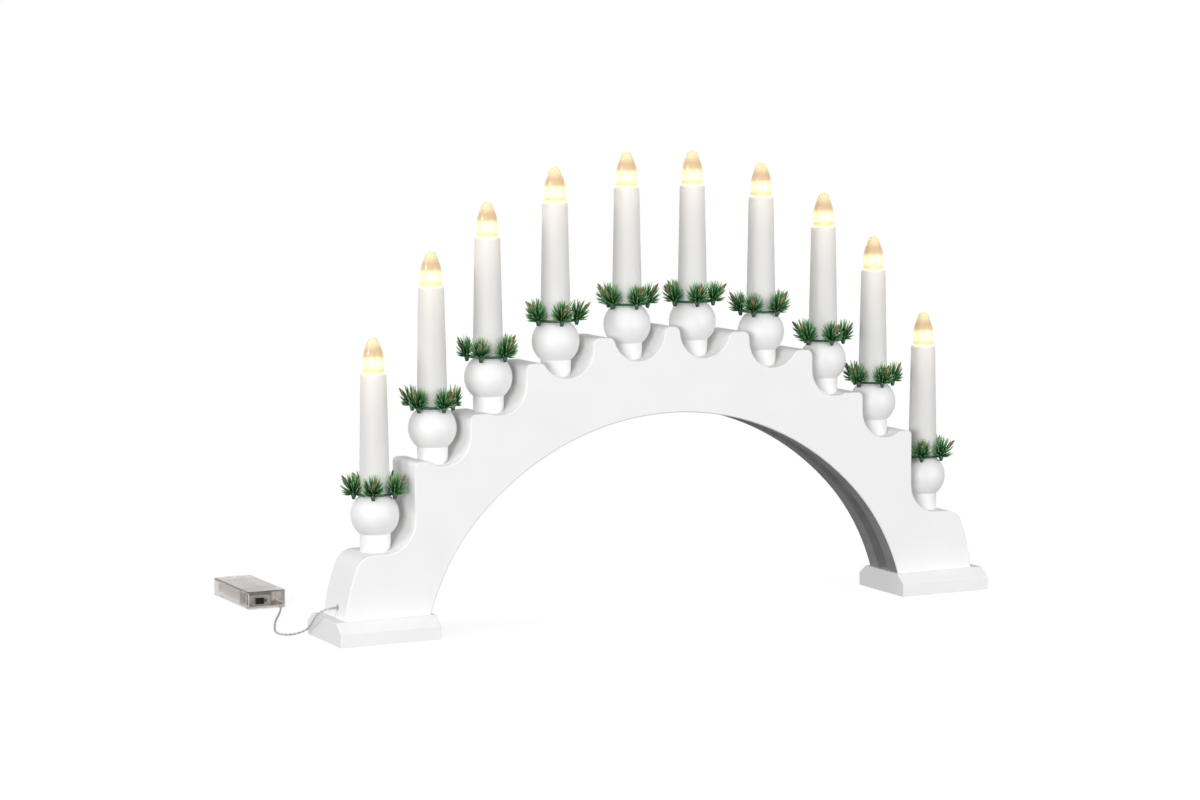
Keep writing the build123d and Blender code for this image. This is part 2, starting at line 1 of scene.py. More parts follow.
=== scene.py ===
# %% [markdown]
# # Dressing a candle arch
#
# The arch stands on two feet and carries ten electric candles, each with a loose evergreen
# ring, and a thin lead runs to a small battery box. Its solids are made already, at their
# real sizes. This lesson gives them paint, plastic and light, and grows the evergreen and
# twists the lead, which are too fine for plain solids.
#
# First the solids are loaded.

# %% Load the solids
import json
import random

from math import cos, pi, radians, sin, sqrt

import bmesh
import bpy
from mathutils import Matrix, Vector

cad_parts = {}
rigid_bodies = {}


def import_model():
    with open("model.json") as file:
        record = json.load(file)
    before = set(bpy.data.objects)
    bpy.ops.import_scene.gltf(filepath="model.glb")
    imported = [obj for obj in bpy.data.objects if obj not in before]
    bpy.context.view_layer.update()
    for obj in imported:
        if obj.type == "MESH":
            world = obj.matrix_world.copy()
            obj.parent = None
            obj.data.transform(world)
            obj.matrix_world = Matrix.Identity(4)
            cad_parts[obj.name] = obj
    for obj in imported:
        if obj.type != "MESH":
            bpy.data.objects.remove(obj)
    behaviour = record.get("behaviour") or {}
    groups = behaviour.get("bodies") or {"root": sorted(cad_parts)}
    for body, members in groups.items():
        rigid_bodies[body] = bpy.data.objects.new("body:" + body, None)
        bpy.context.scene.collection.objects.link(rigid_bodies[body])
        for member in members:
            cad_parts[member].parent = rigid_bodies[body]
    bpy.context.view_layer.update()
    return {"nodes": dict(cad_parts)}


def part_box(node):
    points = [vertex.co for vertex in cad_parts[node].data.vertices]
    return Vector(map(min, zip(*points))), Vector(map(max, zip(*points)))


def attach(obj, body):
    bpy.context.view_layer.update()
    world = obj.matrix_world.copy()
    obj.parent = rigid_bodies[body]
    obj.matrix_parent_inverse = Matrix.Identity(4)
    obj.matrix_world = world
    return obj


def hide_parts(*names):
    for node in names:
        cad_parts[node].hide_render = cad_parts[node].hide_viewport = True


for leftover in list(bpy.data.objects):
    bpy.data.objects.remove(leftover)
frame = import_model()
print("solids loaded:", len(frame["nodes"]))

# %% [markdown]
# ## The camera
#
# The camera looks along the arch from the front left and a little from above. It stands two
# metres off with a long lens, as for a picture in a catalogue, so the far foot isn't much
# smaller than the near one. Three directions are worked out from its turn, its tilt and a
# very small roll, and they are the columns of the camera's own matrix.
#
# The camera, like every lamp and every piece made here, has to be an object in the scene
# before it counts, so a first small helper does that.


# %% Place the camera
def into_scene(name, data):
    """A new object in the scene that shows or uses that data."""
    thing = bpy.data.objects.new(name, data)
    bpy.context.scene.collection.objects.link(thing)
    return thing


picture_width = 1200
focal_pixels = 3208.75
camera_place = (-1.01126, -1.95455, 0.38963)
turn, tilt, roll = radians(26.28), radians(6.28), radians(-0.2)
ahead = Vector((sin(turn) * cos(tilt), cos(turn) * cos(tilt), -sin(tilt)))
level = Vector((cos(turn), -sin(turn), 0))
upright = level.cross(ahead)
camera_right = cos(roll) * level + sin(roll) * upright
camera_top = cos(roll) * upright - sin(roll) * level
lens = bpy.data.cameras.new("Camera")
lens.sensor_width = 36
lens.lens = lens.sensor_width * focal_pixels / picture_width
lens.clip_start = 0.05
camera = into_scene("Camera", lens)
camera.matrix_world = Matrix((camera_right, camera_top, -ahead)).transposed().to_4x4()
camera.matrix_world.translation = camera_place
bpy.context.scene.camera = camera
print("lens in mm:", round(lens.lens, 2))

# %% [markdown]
# ## The lead
#
# Two thin insulated wires are twisted together and run from a small hole in the left leg to
# the battery box. The lead is limp: it falls over the step of the foot, bends on the table
# and runs back to the box. Its line is one smooth NURBS curve through a few points, the same
# ones that the solid tube follows. Turning that curve into a plain mesh gives places along
# it, close together.

# %% The lead's line
lead_places = [
    (-0.2406, -0.0033, 0.0223),
    (-0.2484, -0.0033, 0.0225),
    (-0.2546, -0.0002, 0.0188),
    (-0.2542, 0.0090, 0.0126),
    (-0.2530, 0.0180, 0.0078),
    (-0.2532, 0.0258, 0.0032),
    (-0.2610, 0.0274, 0.0009),
    (-0.2682, 0.0310, 0.0009),
    (-0.2689, 0.0415, 0.0009),
    (-0.2624, 0.0600, 0.0009),
    (-0.2526, 0.0840, 0.0009),
    (-0.2404, 0.1085, 0.0009),
    (-0.2323, 0.1260, 0.0024),
    (-0.2323, 0.1360, 0.0024),
]
route = bpy.data.curves.new("lead_route", "CURVE")
route.dimensions = "3D"
route.resolution_u = 40
spline = route.splines.new("NURBS")
spline.points.add(len(lead_places) - 1)
for point, place in zip(spline.points, lead_places):
    point.co = (*place, 1)
spline.order_u = 3
spline.use_endpoint_u = True
route_object = into_scene("lead_route", route)
route_mesh = bpy.data.meshes.new_from_object(route_object)
lead_line = [vertex.co.copy() for vertex in route_mesh.vertices]
bpy.data.objects.remove(route_object)

# %% [markdown]
# Each wire is a curve with a round bevel that turns about that line once in every six
# millimetres. A side direction is carried along the line and corrected a little at each
# step, so the twist stays even round the bends. Both curves become one mesh.

# %% Twist two wires round the line
wire_radius = 0.00039
twist_length = 0.006


def wire_places(line, start_turn):
    """Places along one wire of the twisted pair."""
    side = Vector((0, 0, 1))
    travelled = 0
    places = []
    for number, place in enumerate(line):
        before = line[max(number - 1, 0)]
        after = line[min(number + 1, len(line) - 1)]
        heading = (after - before).normalized()
        side = (side - heading * side.dot(heading)).normalized()
        travelled += (place - before).length
        spin = start_turn + 2 * pi * travelled / twist_length
        places.append(place + wire_radius * (cos(spin) * side + sin(spin) * heading.cross(side)))
    return places


pair = bpy.data.curves.new("supply_lead_pair", "CURVE")
pair.dimensions = "3D"
pair.bevel_depth = wire_radius
pair.bevel_resolution = 2
pair.use_fill_caps = True
for start_turn in (0, pi):
    places = wire_places(lead_line, start_turn)
    wire = pair.splines.new("POLY")
    wire.points.add(len(places) - 1)
    for point, place in zip(wire.points, places):
        point.co = (*place, 1)
pair_object = into_scene("supply_lead_curve", pair)
lead = into_scene("supply_lead_pair", bpy.data.meshes.new_from_object(pair_object))
bpy.data.objects.remove(pair_object)
print("lead faces:", len(lead.data.polygons))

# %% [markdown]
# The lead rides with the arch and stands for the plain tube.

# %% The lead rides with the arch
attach(lead, "arch")
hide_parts("supply_lead")

# %% [markdown]
# ## A maker's box of finishes
#
# Every finish is a material made of nodes. Four small helpers keep the cells short: one
# makes a material and sets plain values on its shader, one adds a node, one joins two
# sockets, and one finds the shader again. Patterns read Object coordinates, which are metres
# here, so a noise scale of 1000 gives spots about a millimetre wide.

# %% Helpers for materials
finishes = {}


def new_finish(name, **values):
    """A new material, with plain values set on its shader."""
    finish = bpy.data.materials.new(name)
    finish.use_nodes = True
    shader = shader_of(finish)
    for key, value in values.items():
        socket = shader.inputs[key.replace("_", " ")]
        socket.default_value = (*value, 1) if socket.type == "RGBA" else value
    finishes[name] = finish
    return finish


def shader_of(finish):
    return finish.node_tree.nodes["Principled BSDF"]


def add_node(finish, kind, sockets=None, **settings):
    """Adds one node of that kind, with its settings and its plain socket values."""
    node = finish.node_tree.nodes.new("ShaderNode" + kind)
    for name, value in settings.items():
        setattr(node, name, value)
    for name, value in (sockets or {}).items():
        node.inputs[name].default_value = value
    return node


def join(finish, output, entry):
    finish.node_tree.links.new(output, entry)


print("helpers ready")

# %% [markdown]
# A painted or moulded surface is never one flat tone. `mottle` lets the colour wander
# between two close tones in soft patches, and `roughen` gives the surface a fine relief
# that only shows in the highlights. Both read the same kind of noise, and a relief can lie
# on top of another one.


# %% Tone and relief
def place_pattern(finish, stretch=(1, 1, 1)):
    """Object coordinates, stretched."""
    where = add_node(finish, "TexCoord")
    mapping = add_node(finish, "Mapping", vector_type="TEXTURE")
    mapping.inputs["Scale"].default_value = [1 / share for share in stretch]
    join(finish, where.outputs["Object"], mapping.inputs["Vector"])
    return mapping.outputs["Vector"]


def noise(finish, scale, detail=3, stretch=(1, 1, 1)):
    made = add_node(finish, "TexNoise", {"Scale": scale, "Detail": detail})
    join(finish, place_pattern(finish, stretch), made.inputs["Vector"])
    return made.outputs["Fac"]


def ramp(finish, source, stops):
    """Colours along a value, as pairs of a position and a colour."""
    made = add_node(finish, "ValToRGB")
    steps = made.color_ramp.elements
    while len(steps) < len(stops):
        steps.new(1)
    for step, (position, colour) in zip(steps, stops):
        step.position = position
        step.color = (*colour, 1)
    join(finish, source, made.inputs["Fac"])
    return made.outputs["Color"]


def mottle(finish, scale, dark, light, stretch=(1, 1, 1)):
    """A base colour that wanders between two tones, in patches of 1 / scale."""
    tones = ramp(finish, noise(finish, scale, stretch=stretch), [(0.3, dark), (0.7, light)])
    join(finish, tones, shader_of(finish).inputs["Base Color"])


def roughen(finish, height, depth, under=None):
    """Relief from a height value, depth in metres, on top of another relief if given."""
    bump = add_node(finish, "Bump", {"Distance": depth, "Strength": 1.0})
    join(finish, height, bump.inputs["Height"])
    if under:
        join(finish, under, bump.inputs["Normal"])
    join(finish, bump.outputs["Normal"], shader_of(finish).inputs["Normal"])
    return bump.outputs["Normal"]


print("tone and relief ready")

# %% [markdown]
# ## White paint
#
# The board and the feet are smooth wooden board under matte white paint, put on with a small
# roller. A roller leaves a very fine stipple, and the board under it is never quite flat, so
# there are two reliefs: a stipple of half a millimetre and a slow wave of some centimetres.
# The balls are turned on a lathe before they are painted, and faint rings stay under the
# paint. They get the same colour with a fine wave along their height instead.

# %% Paint for the board, the feet and the turned balls
paint_light = (0.86, 0.86, 0.857)
paint_dark = (0.84, 0.84, 0.836)
board_paint = new_finish("white_board_paint", Roughness=0.55, Specular_IOR_Level=0.35)
mottle(board_paint, 38, paint_dark, paint_light)
slow_wave = roughen(board_paint, noise(board_paint, 24, 1), 0.0001)
roughen(board_paint, noise(board_paint, 1900, 2), 0.00003, slow_wave)

ball_paint = new_finish("white_turned_paint", Roughness=0.45, Specular_IOR_Level=0.4)
mottle(ball_paint, 60, paint_dark, paint_light)
lathe = add_node(
    ball_paint,
    "TexWave",
    {"Scale": 380, "Distortion": 1.5, "Detail": 2},
    wave_type="BANDS",
    bands_direction="Z",
)
join(ball_paint, place_pattern(ball_paint), lathe.inputs["Vector"])
lathe_rings = roughen(ball_paint, lathe.outputs["Fac"], 0.000012)
roughen(ball_paint, noise(ball_paint, 1900, 2), 0.00002, lathe_rings)
print("paints:", board_paint.name, ball_paint.name)

# %% [markdown]
# The underside of the arch gets a dark grey finish that paints in the shade under the arch,
# a little streaky. It is a finish of its own, and its patches are drawn out along the depth.

# %% Painted shade for the arch's underside
painted_underside_shade = new_finish("grey_painted_underside_shade", Roughness=0.7, Specular_IOR_Level=0.3)
mottle(painted_underside_shade, 55, (0.22, 0.22, 0.22), (0.3, 0.3, 0.298), stretch=(1, 0.3, 1))
underside_wave = roughen(painted_underside_shade, noise(painted_underside_shade, 24, 1), 0.0001)
roughen(painted_underside_shade, noise(painted_underside_shade, 1500, 2), 0.00004, underside_wave)
print("undercoat:", painted_underside_shade.name)

# %% [markdown]
# ## Candle plastic
#
# Each candle is a tapered sleeve of warm white plastic, a little see-through, like wax. The
# light inside warms its top, as a glow painted on as light that the plastic gives off. As each
# candle stands at its own height, the painted glow has to start from that candle's own top, so
# first the places of the candles are written down, in metres: how far they stand from the
# middle, and how high their balls are.

# %% Places of the candles
candle_reaches = [0.0253, 0.0795, 0.1297, 0.1708, 0.2128]
ball_heights = [0.2009, 0.1917, 0.1695, 0.1377, 0.0820]
candles = [(-x, z) for x, z in zip(reversed(candle_reaches), reversed(ball_heights))]
candles += list(zip(candle_reaches, ball_heights))
sleeve_top = 0.0935
flame_height = 0.0243
print("candles:", len(candles))

# %% [markdown]
# Every sleeve then gets its own copy of the finish, in which a Map Range node turns the
# height into a share that is 0 below the glow and 1 at that sleeve's top. Light that
# scatters under the surface takes the hardness out of the shading.

# %% Candle plastic
glow_reach = 0.05


def height_share(finish, low, high):
    """0 at one height and 1 at another."""
    split = add_node(finish, "SeparateXYZ")
    join(finish, place_pattern(finish), split.inputs["Vector"])
    share = add_node(finish, "MapRange", {"From Min": low, "From Max": high})
    join(finish, split.outputs["Z"], share.inputs["Value"])
    return share.outputs["Result"]


def candle_plastic(number, top):
    finish = new_finish(
        f"candle_plastic_{number:02d}",
        Roughness=0.52,
        Specular_IOR_Level=0.3,
        Subsurface_Weight=0.5,
        Subsurface_Radius=(0.008, 0.008, 0.008),
        Subsurface_Scale=1.0,
        Emission_Strength=1.0,
    )
    mottle(finish, 45, (0.82, 0.805, 0.79), (0.86, 0.85, 0.835), stretch=(1, 1, 0.25))
    # Painted glow: the light inside, given off by the top of the sleeve itself.
    glow = ramp(
        finish,
        height_share(finish, top - glow_reach, top),
        [
            (0, (0.0, 0.0, 0.0)),
            (0.8, (0.006, 0.004, 0.0015)),
            (0.985, (0.012, 0.009, 0.004)),
            (1, (0.07, 0.06, 0.035)),
        ],
    )
    join(finish, glow, shader_of(finish).inputs["Emission Color"])
    flow = roughen(finish, noise(finish, 60, 1, (1, 1, 0.15)), 0.0001)
    roughen(finish, noise(finish, 2400, 2), 0.000012, flow)


for number, (x, ball) in enumerate(candles, 1):
    candle_plastic(number, ball + sleeve_top)
print("candle plastics:", number)

# %% [markdown]
# ## The flames
#
# A flame is a bullet of clear plastic with a small light under it. Lit, it shows bands:
# a bright yellow belly, a peach band above it where the hollow ends, and a pale clear tip.
# Its foot sits in a bright rim. The bands are written into the colour of the plastic and the
# light that it gives off, by height, so they look the same from every side, and a soft thin
# coat over them takes the highlights.


# %% Flame plastic
def flame_plastic(number, foot):
    finish = new_finish(
        f"flame_plastic_{number:02d}",
        Roughness=0.22,
        Transmission_Weight=0.45,
        IOR=1.46,
        Coat_Weight=0.2,
        Coat_Roughness=0.35,
        Emission_Strength=1.0,
    )
    share = height_share(finish, foot, foot + flame_height)
    body = ramp(
        finish,
        share,
        [
            (0.0, (0.9, 0.86, 0.66)),
            (0.1, (0.82, 0.66, 0.4)),
            (0.2, (0.9, 0.87, 0.62)),
            (0.4, (0.9, 0.85, 0.56)),
            (0.52, (0.72, 0.56, 0.36)),
            (0.66, (0.72, 0.55, 0.38)),
            (0.82, (0.86, 0.79, 0.58)),
            (1.0, (0.9, 0.87, 0.7)),
        ],
    )
    join(finish, body, shader_of(finish).inputs["Base Color"])
    light = ramp(
        finish,
        share,
        [
            (0.0, (0.36, 0.34, 0.26)),
            (0.05, (0.32, 0.29, 0.19)),
            (0.1, (0.2, 0.165, 0.09)),
            (0.18, (0.27, 0.255, 0.165)),
            (0.28, (0.31, 0.31, 0.23)),
            (0.4, (0.27, 0.26, 0.16)),
            (0.52, (0.13, 0.11, 0.07)),
            (0.66, (0.1, 0.085, 0.055)),
            (0.8, (0.12, 0.105, 0.05)),
            (1.0, (0.14, 0.125, 0.07)),
        ],
    )
    join(finish, light, shader_of(finish).inputs["Emission Color"])
    roughen(finish, noise(finish, 160, 1), 0.00008)


for number, (x, ball) in enumerate(candles, 1):
    flame_plastic(number, ball + sleeve_top)
print("flame plastics:", number)

# %% [markdown]
# ## Small metal and inner pieces
#
# Screws, springs and contact plates are bare metal, with a fine brushed or drawn grain. The
# cells, the circuit board and the switch body lie inside the milky box, where they show only
# as soft shapes, and the wires inside the arch hardly show at all. They still get their own
# finishes, because the cover slides off.


# %% Metals
def metal(name, tone, roughness, grain, stretch):
    """Bare metal whose tone and relief share one grain."""
    finish = new_finish(name, Metallic=1.0, Roughness=roughness)
    dark = [0.8 * part for part in tone]
    mottle(finish, grain, dark, tone, stretch=stretch)
    roughen(finish, noise(finish, grain, 2, stretch), 0.000006)
    return finish


zinc = metal("zinc_screw_steel", (0.66, 0.66, 0.64), 0.34, 900, (1, 1, 1))
tin = metal("switch_tinned_steel", (0.62, 0.62, 0.6), 0.4, 1200, (0.2, 1, 1))
nickel = metal("contact_nickel", (0.72, 0.7, 0.66), 0.26, 1500, (1, 1, 1))
jacket = metal("cell_bright_jacket", (0.5, 0.49, 0.47), 0.3, 300, (1, 0.2, 1))
print("metals:", zinc.name, tin.name, nickel.name, jacket.name)

# %% [markdown]
# Three plastics are left. The circuit board is a brown laminate with the weave of its cloth,
# each light unit is a clear resin that glows by itself, and the insulation of the lead is a
# smooth light grey.

# %% Inner plastics
laminate = new_finish("circuit_laminate", Roughness=0.5)
mottle(laminate, 500, (0.13, 0.1, 0.05), (0.2, 0.15, 0.08))
roughen(laminate, noise(laminate, 1200, 2, (1, 0.2, 1)), 0.00002)

resin = new_finish(
    "light_resin",
    Roughness=0.12,
    Transmission_Weight=0.5,
    Emission_Strength=1.5,
    Emission_Color=(1.0, 0.82, 0.45),
)
mottle(resin, 400, (0.9, 0.8, 0.5), (0.95, 0.88, 0.6))
roughen(resin, noise(resin, 700, 1), 0.00001)

insulation = new_finish(
    "lead_insulation", Roughness=0.35, Coat_Weight=0.3, Coat_Roughness=0.2
)
mottle(insulation, 260, (0.43, 0.43, 0.42), (0.56, 0.56, 0.55))
roughen(insulation, noise(insulation, 2500, 2), 0.00001)
print("plastics:", laminate.name, resin.name, insulation.name)

# %% [markdown]
# ## The battery box
#
# The box and its cover are moulded in milky warm grey plastic, see-through enough to show
# the cells and springs as soft shapes. Transmission gives the sight of them, and a slow wave
# in the surface and the walls' own grey blur it. The slide knob is black plastic with a fine
# moulded grain.

# %% Box plastic and knob plastic
milky = new_finish(
    "milky_box_plastic",
    Roughness=0.06,
    Transmission_Weight=0.92,
    IOR=1.42,
    Specular_IOR_Level=0.6,
)
mottle(milky, 70, (0.79, 0.745, 0.71), (0.85, 0.805, 0.77))
box_wave = roughen(milky, noise(milky, 90, 1), 0.00012)
roughen(milky, noise(milky, 2200, 2), 0.00001, box_wave)

knob_black = new_finish("knob_black_plastic", Roughness=0.5, Specular_IOR_Level=0.25)
mottle(knob_black, 700, (0.003, 0.003, 0.003), (0.008, 0.008, 0.008))
roughen(knob_black, noise(knob_black, 2600, 2), 0.00003)
print("box finishes:", milky.name, knob_black.name)

# %% [markdown]
# ## Finishes onto the solids
#
# Every solid that stays in view gets its finish in its material slot. The solids themselves
# are never moved or reshaped here.

# %% Dress the solids
solid_finishes = {
    "arch_board": board_paint,
    "left_foot": board_paint,
    "right_foot": board_paint,
    "foot_screws": zinc,
    "led_units": resin,
    "wiring_harness": insulation,
    "battery_case": milky,
    "battery_cover": milky,
    "switch_knob": knob_black,
    "switch_body": tin,
    "circuit_board": laminate,
    "battery_cells": jacket,
    "contact_springs": nickel,
    "contact_plates": nickel,
}
for number in range(1, len(candles) + 1):
    solid_finishes[f"candle_cup_{number:02d}"] = ball_paint
    solid_finishes[f"candle_sleeve_{number:02d}"] = finishes[f"candle_plastic_{number:02d}"]
    solid_finishes[f"flame_bulb_{number:02d}"] = finishes[f"flame_plastic_{number:02d}"]


def dress(thing, *wanted):
    """Gives a piece its finishes. Clearing an empty list would reset its faces' choices."""
    if thing.data.materials:
        thing.data.materials.clear()
    for finish in wanted:
        thing.data.materials.append(finish)


for name, finish in solid_finishes.items():
    dress(frame["nodes"][name], finish)
dress(lead, insulation)
print("solids dressed:", len(solid_finishes))

# %% [markdown]
# The board gets the painted shade on its underside as a second finish. The underside is made of
# three arcs: one over the middle, of 200 millimetres, and one in each leg, of 155. A face
# belongs to it if it lies on the right arc, or in the wire groove just beyond it, and does
# not look to the front or the back.

# %% Painted shade on the underside
crown_reach = 0.144
crown_middle_height = -0.0595
crown_arc = 0.2
leg_middle_reach = 0.0324
leg_middle_height = -0.02827
leg_arc = 0.155
groove_half_width = 0.0066
groove_depth = 0.0095
arc_slack = 0.001
most_sideways = 0.3


def past_underside(place):
    """How far a place lies beyond the arcs of the underside, into the board."""
    reach = abs(place.x)
    if reach < crown_reach:
        return sqrt(reach**2 + (place.z - crown_middle_height) ** 2) - crown_arc
    return sqrt((reach - leg_middle_reach) ** 2 + (place.z - leg_middle_height) ** 2) - leg_arc


board = frame["nodes"]["arch_board"]
# The second finish is a dark grey that paints in the shade under the arch and in its groove.
board.data.materials.append(painted_underside_shade)
painted_shade_faces = 0
for face in board.data.polygons:
    across = abs(face.center.y) < groove_half_width or abs(face.normal.y) < most_sideways
    if across and -arc_slack < past_underside(face.center) < groove_depth:
        face.material_index = 1
        painted_shade_faces += 1
print("faces with undercoat:", painted_shade_faces)

# %% [markdown]
# ## Evergreen
#
# Each loose ring is a thin green wire with five moulded pine tips on it. The ring is wider
# than the sleeve and smaller than the ball, so it lies on the ball, on the feet of five
# small cones, and its wire runs through the cones a little higher. Its height follows from
# the two radii. Each ring lies at a turn of its own, as it was dropped on.

# %% Sizes of a ring
ball_radius = 0.0162
ring_radius = 0.0122
ring_wire = 0.00085
rest_gap = 0.0003
ring_height = sqrt((ball_radius + ring_wire + rest_gap) ** 2 - ring_radius**2)
wire_raise = 0.0018
tip_outset = 0.0019
tip_radius = ring_radius + tip_outset
tip_raise = 0.0030
tip_tilt = radians(18)
ring_turns = [27.7, -8.3, 9.7, -26.3, -17.3, 39.7, 3.7, -23.3, -21.3, 19.7]
print("ring height above the ball's middle in mm:", round(ring_height * 1000, 2))

# %% [markdown]
# A tip leans outwards from its cone and has some sixty fine needles, spreading all round and
# curving up a little, and one brown bud. A needle is grown as a twig grows: a tiny disc,
# pushed out in steps, each step thinner and more upright than the last. Two attributes keep
# how far along the needle each corner lies and how light the needle is, for the colour. A
# needle that already points straight up has no hinge to curl about, so it grows on straight.

# %% Grow one needle or bud
least_hinge = 0.01


def aim(lean, swing):
    """Direction that leans from the tip's tilted stem and swings round from outwards."""
    straight = Vector((sin(lean) * cos(swing), sin(lean) * sin(swing), cos(lean)))
    return Matrix.Rotation(tip_tilt, 3, "Y") @ straight


def grow(mesh, start, heading, steps, sides, shade, material):
    """Pushes a small disc out from start; each step is a distance, a radius and a curl."""
    along_layer = mesh.verts.layers.float["along"]
    shade_layer = mesh.verts.layers.float["shade"]
    turned = heading.to_track_quat("Z", "Y").to_matrix().to_4x4()
    radius = steps[0][1]
    made = bmesh.ops.create_circle(
        mesh,
        cap_ends=True,
        segments=sides,
        radius=radius,
        matrix=Matrix.Translation(start) @ turned,
    )
    face = made["verts"][0].link_faces[0]
    face.material_index = material
    for corner in made["verts"]:
        corner[shade_layer] = shade
    middle = Vector(start)
    full_length = sum(step[0] for step in steps)
    travelled = 0
    for distance, next_radius, curl in steps[1:]:
        pushed = bmesh.ops.extrude_face_region(mesh, geom=[face])["geom"]
        corners = [part for part in pushed if isinstance(part, bmesh.types.BMVert)]
        face = [part for part in pushed if isinstance(part, bmesh.types.BMFace)][0]
        hinge = heading.cross(Vector((0, 0, 1)))
        if hinge.length > least_hinge:
            bend = Matrix.Rotation(curl, 3, hinge.normalized())
            heading = bend @ heading
            bmesh.ops.rotate(mesh, verts=corners, cent=middle, matrix=bend)
        thinner = Vector((1, 1, 1)) * (next_radius / radius)
        bmesh.ops.scale(mesh, verts=corners, vec=thinner, space=Matrix.Translation(-middle))
        bmesh.ops.translate(mesh, verts=corners, vec=heading * distance)
        middle += heading * distance
        radius = next_radius
        travelled += distance
        for corner in corners:
            corner[along_layer] = travelled / full_length
            for side in corner.link_faces:
                side.material_index = material


print("growing needles is ready")

# %% [markdown]
# A pine tip has five whorls, from a low one that spreads wide to a nearly upright one. A
# needle that points to the candle is kept steep, so that the ring can be lifted past the
# sleeve, one that points away from it ends inside the ring's reach, and none grows right
# beside the bud. Chance moves each needle a little, from a fixed seed, so the model is the
# same every time.

# %% Plan the needles of a tip
inner_limit = 0.0111
outer_limit = 0.0232
root_gap = 0.001
bud_clearance = radians(12)
whorls = [
    # needles, lean in degrees, length, curl of each step
    (12, 94, 0.0070, 0.14),
    (15, 74, 0.0080, 0.10),
    (15, 53, 0.0100, 0.07),
    (13, 32, 0.0118, 0.05),
    (7, 12, 0.0126, 0.02),
]


def needle_plan(chance, bud_heading):
    """Heading, length, curl and shade of every needle of a tip."""
    plan = []
    for count, lean, length, curl in whorls:
        for number in range(count):
            swing = 2 * pi * (number + chance.uniform(-0.3, 0.3)) / count
            heading = aim(radians(lean + chance.uniform(-5, 5)), swing)
            long = length * chance.uniform(0.92, 1.06)
            most = (outer_limit - tip_radius) / (long + root_gap)
            least = (inner_limit - tip_radius) / (long + root_gap)
            heading.x = min(max(heading.x, least), most)
            heading.normalize()
            shade = chance.random()
            if heading.angle(bud_heading) > bud_clearance:
                plan.append((heading, long, curl, shade))
    return plan


print("needles planned for a tip, at most:", sum(whorl[0] for whorl in whorls))

# %% [markdown]
# A needle has a root and four equal steps. The bud is grown in the same way, on a stem, with
# each row of scales as a wide ring and a narrow one. The cone is an operator's own, and only
# the bud's faces stay flat, for its scales. The finishes are numbered: needles, bud, and the
# wire with the cones.

# %% Grow the pine tips
needle_slot, bud_slot, wire_slot = 0, 1, 2
needle_sides, bud_sides, cone_sides = 4, 7, 12
needle_radii = (0.00036, 0.00046, 0.00044, 0.00036, 0.00013)
scale_radii = (0.0013, 0.0015, 0.0015, 0.0012, 0.0008)
scale_length, scale_edge = 0.0013, 0.0003
narrow_share = 0.8
cone_depth = 0.0044
cone_foot, cone_rim = 0.0010, 0.0023
cone_outset = 0.0002


def bud_steps():
    """Distance, radius and curl of each step: a stem, the rows of scales and a fine point."""
    steps = [(0, 0.0009, 0), (0.0045, 0.0010, 0)]
    for wide in scale_radii:
        steps += [(scale_length, wide, 0), (scale_edge, wide * narrow_share, 0)]
    return steps + [(0.0012, 0.00015, 0)]


def pine_tip(seed):
    """Mesh of one tip, its stem upwards and outwards along +X."""
    chance = random.Random(seed)
    tip = bmesh.new()
    tip.verts.layers.float.new("along")
    tip.verts.layers.float.new("shade")
    bud_heading = aim(radians(chance.uniform(14, 26)), chance.uniform(-0.5, 0.5))
    for heading, long, curl, shade in needle_plan(chance, bud_heading):
        steps = [(0, needle_radii[0], 0)]
        steps += [(long / 4, radius, curl) for radius in needle_radii[1:]]
        grow(tip, heading * root_gap, heading, steps, needle_sides, shade, needle_slot)
    root, shade = bud_heading * root_gap, chance.random()
    grow(tip, root, bud_heading, bud_steps(), bud_sides, shade, bud_slot)
    grown = set(tip.faces)
    bmesh.ops.create_cone(
        tip,
        cap_ends=True,
        segments=cone_sides,
        radius1=cone_foot,
        radius2=cone_rim,
        depth=cone_depth,
        matrix=Matrix.Translation((cone_outset, 0, -cone_depth / 2)),
    )
    for face in tip.faces:
        if face not in grown:
            face.material_index = wire_slot
        face.smooth = face.material_index != bud_slot
    mesh = bpy.data.meshes.new(f"pine_tip_{seed}")
    tip.to_mesh(mesh)
    tip.free()
    return mesh


pine_tips = [pine_tip(seed) for seed in range(4)]
print("faces of each pine tip:", [len(mesh.polygons) for mesh in pine_tips])

# %% [markdown]
# The needles are dark at the root, green along their length and pale at the tip, and some
# are lighter than others. Two ramps hold the dark and the light needle, and the second
# attribute mixes them. The bud is brown with golden patches on its scales, and the wire has a
# winding of green tape that shows as a fine wave.


# %% Needle, bud and wire finishes
def attribute(finish, name):
    return add_node(finish, "Attribute", attribute_name=name).outputs["Fac"]


needle_green = new_finish("needle_green", Roughness=0.42, Specular_IOR_Level=0.4)
dark_needle = ramp(
    needle_green,
    attribute(needle_green, "along"),
    [(0, (0.006, 0.04, 0.010)), (0.45, (0.016, 0.14, 0.034)), (1, (0.10, 0.34, 0.10))],
)
light_needle = ramp(
    needle_green,
    attribute(needle_green, "along"),
    [(0, (0.012, 0.09, 0.024)), (0.5, (0.058, 0.32, 0.095)), (1, (0.50, 0.66, 0.34))],
)
blend_needles = add_node(needle_green, "Mix", data_type="RGBA")
join(needle_green, attribute(needle_green, "shade"), blend_needles.inputs["Factor"])
join(needle_green, dark_needle, blend_needles.inputs[6])
join(needle_green, light_needle, blend_needles.inputs[7])
join(needle_green, blend_needles.outputs[2], shader_of(needle_green).inputs["Base Color"])
roughen(needle_green, noise(needle_green, 1800, 2), 0.00004)

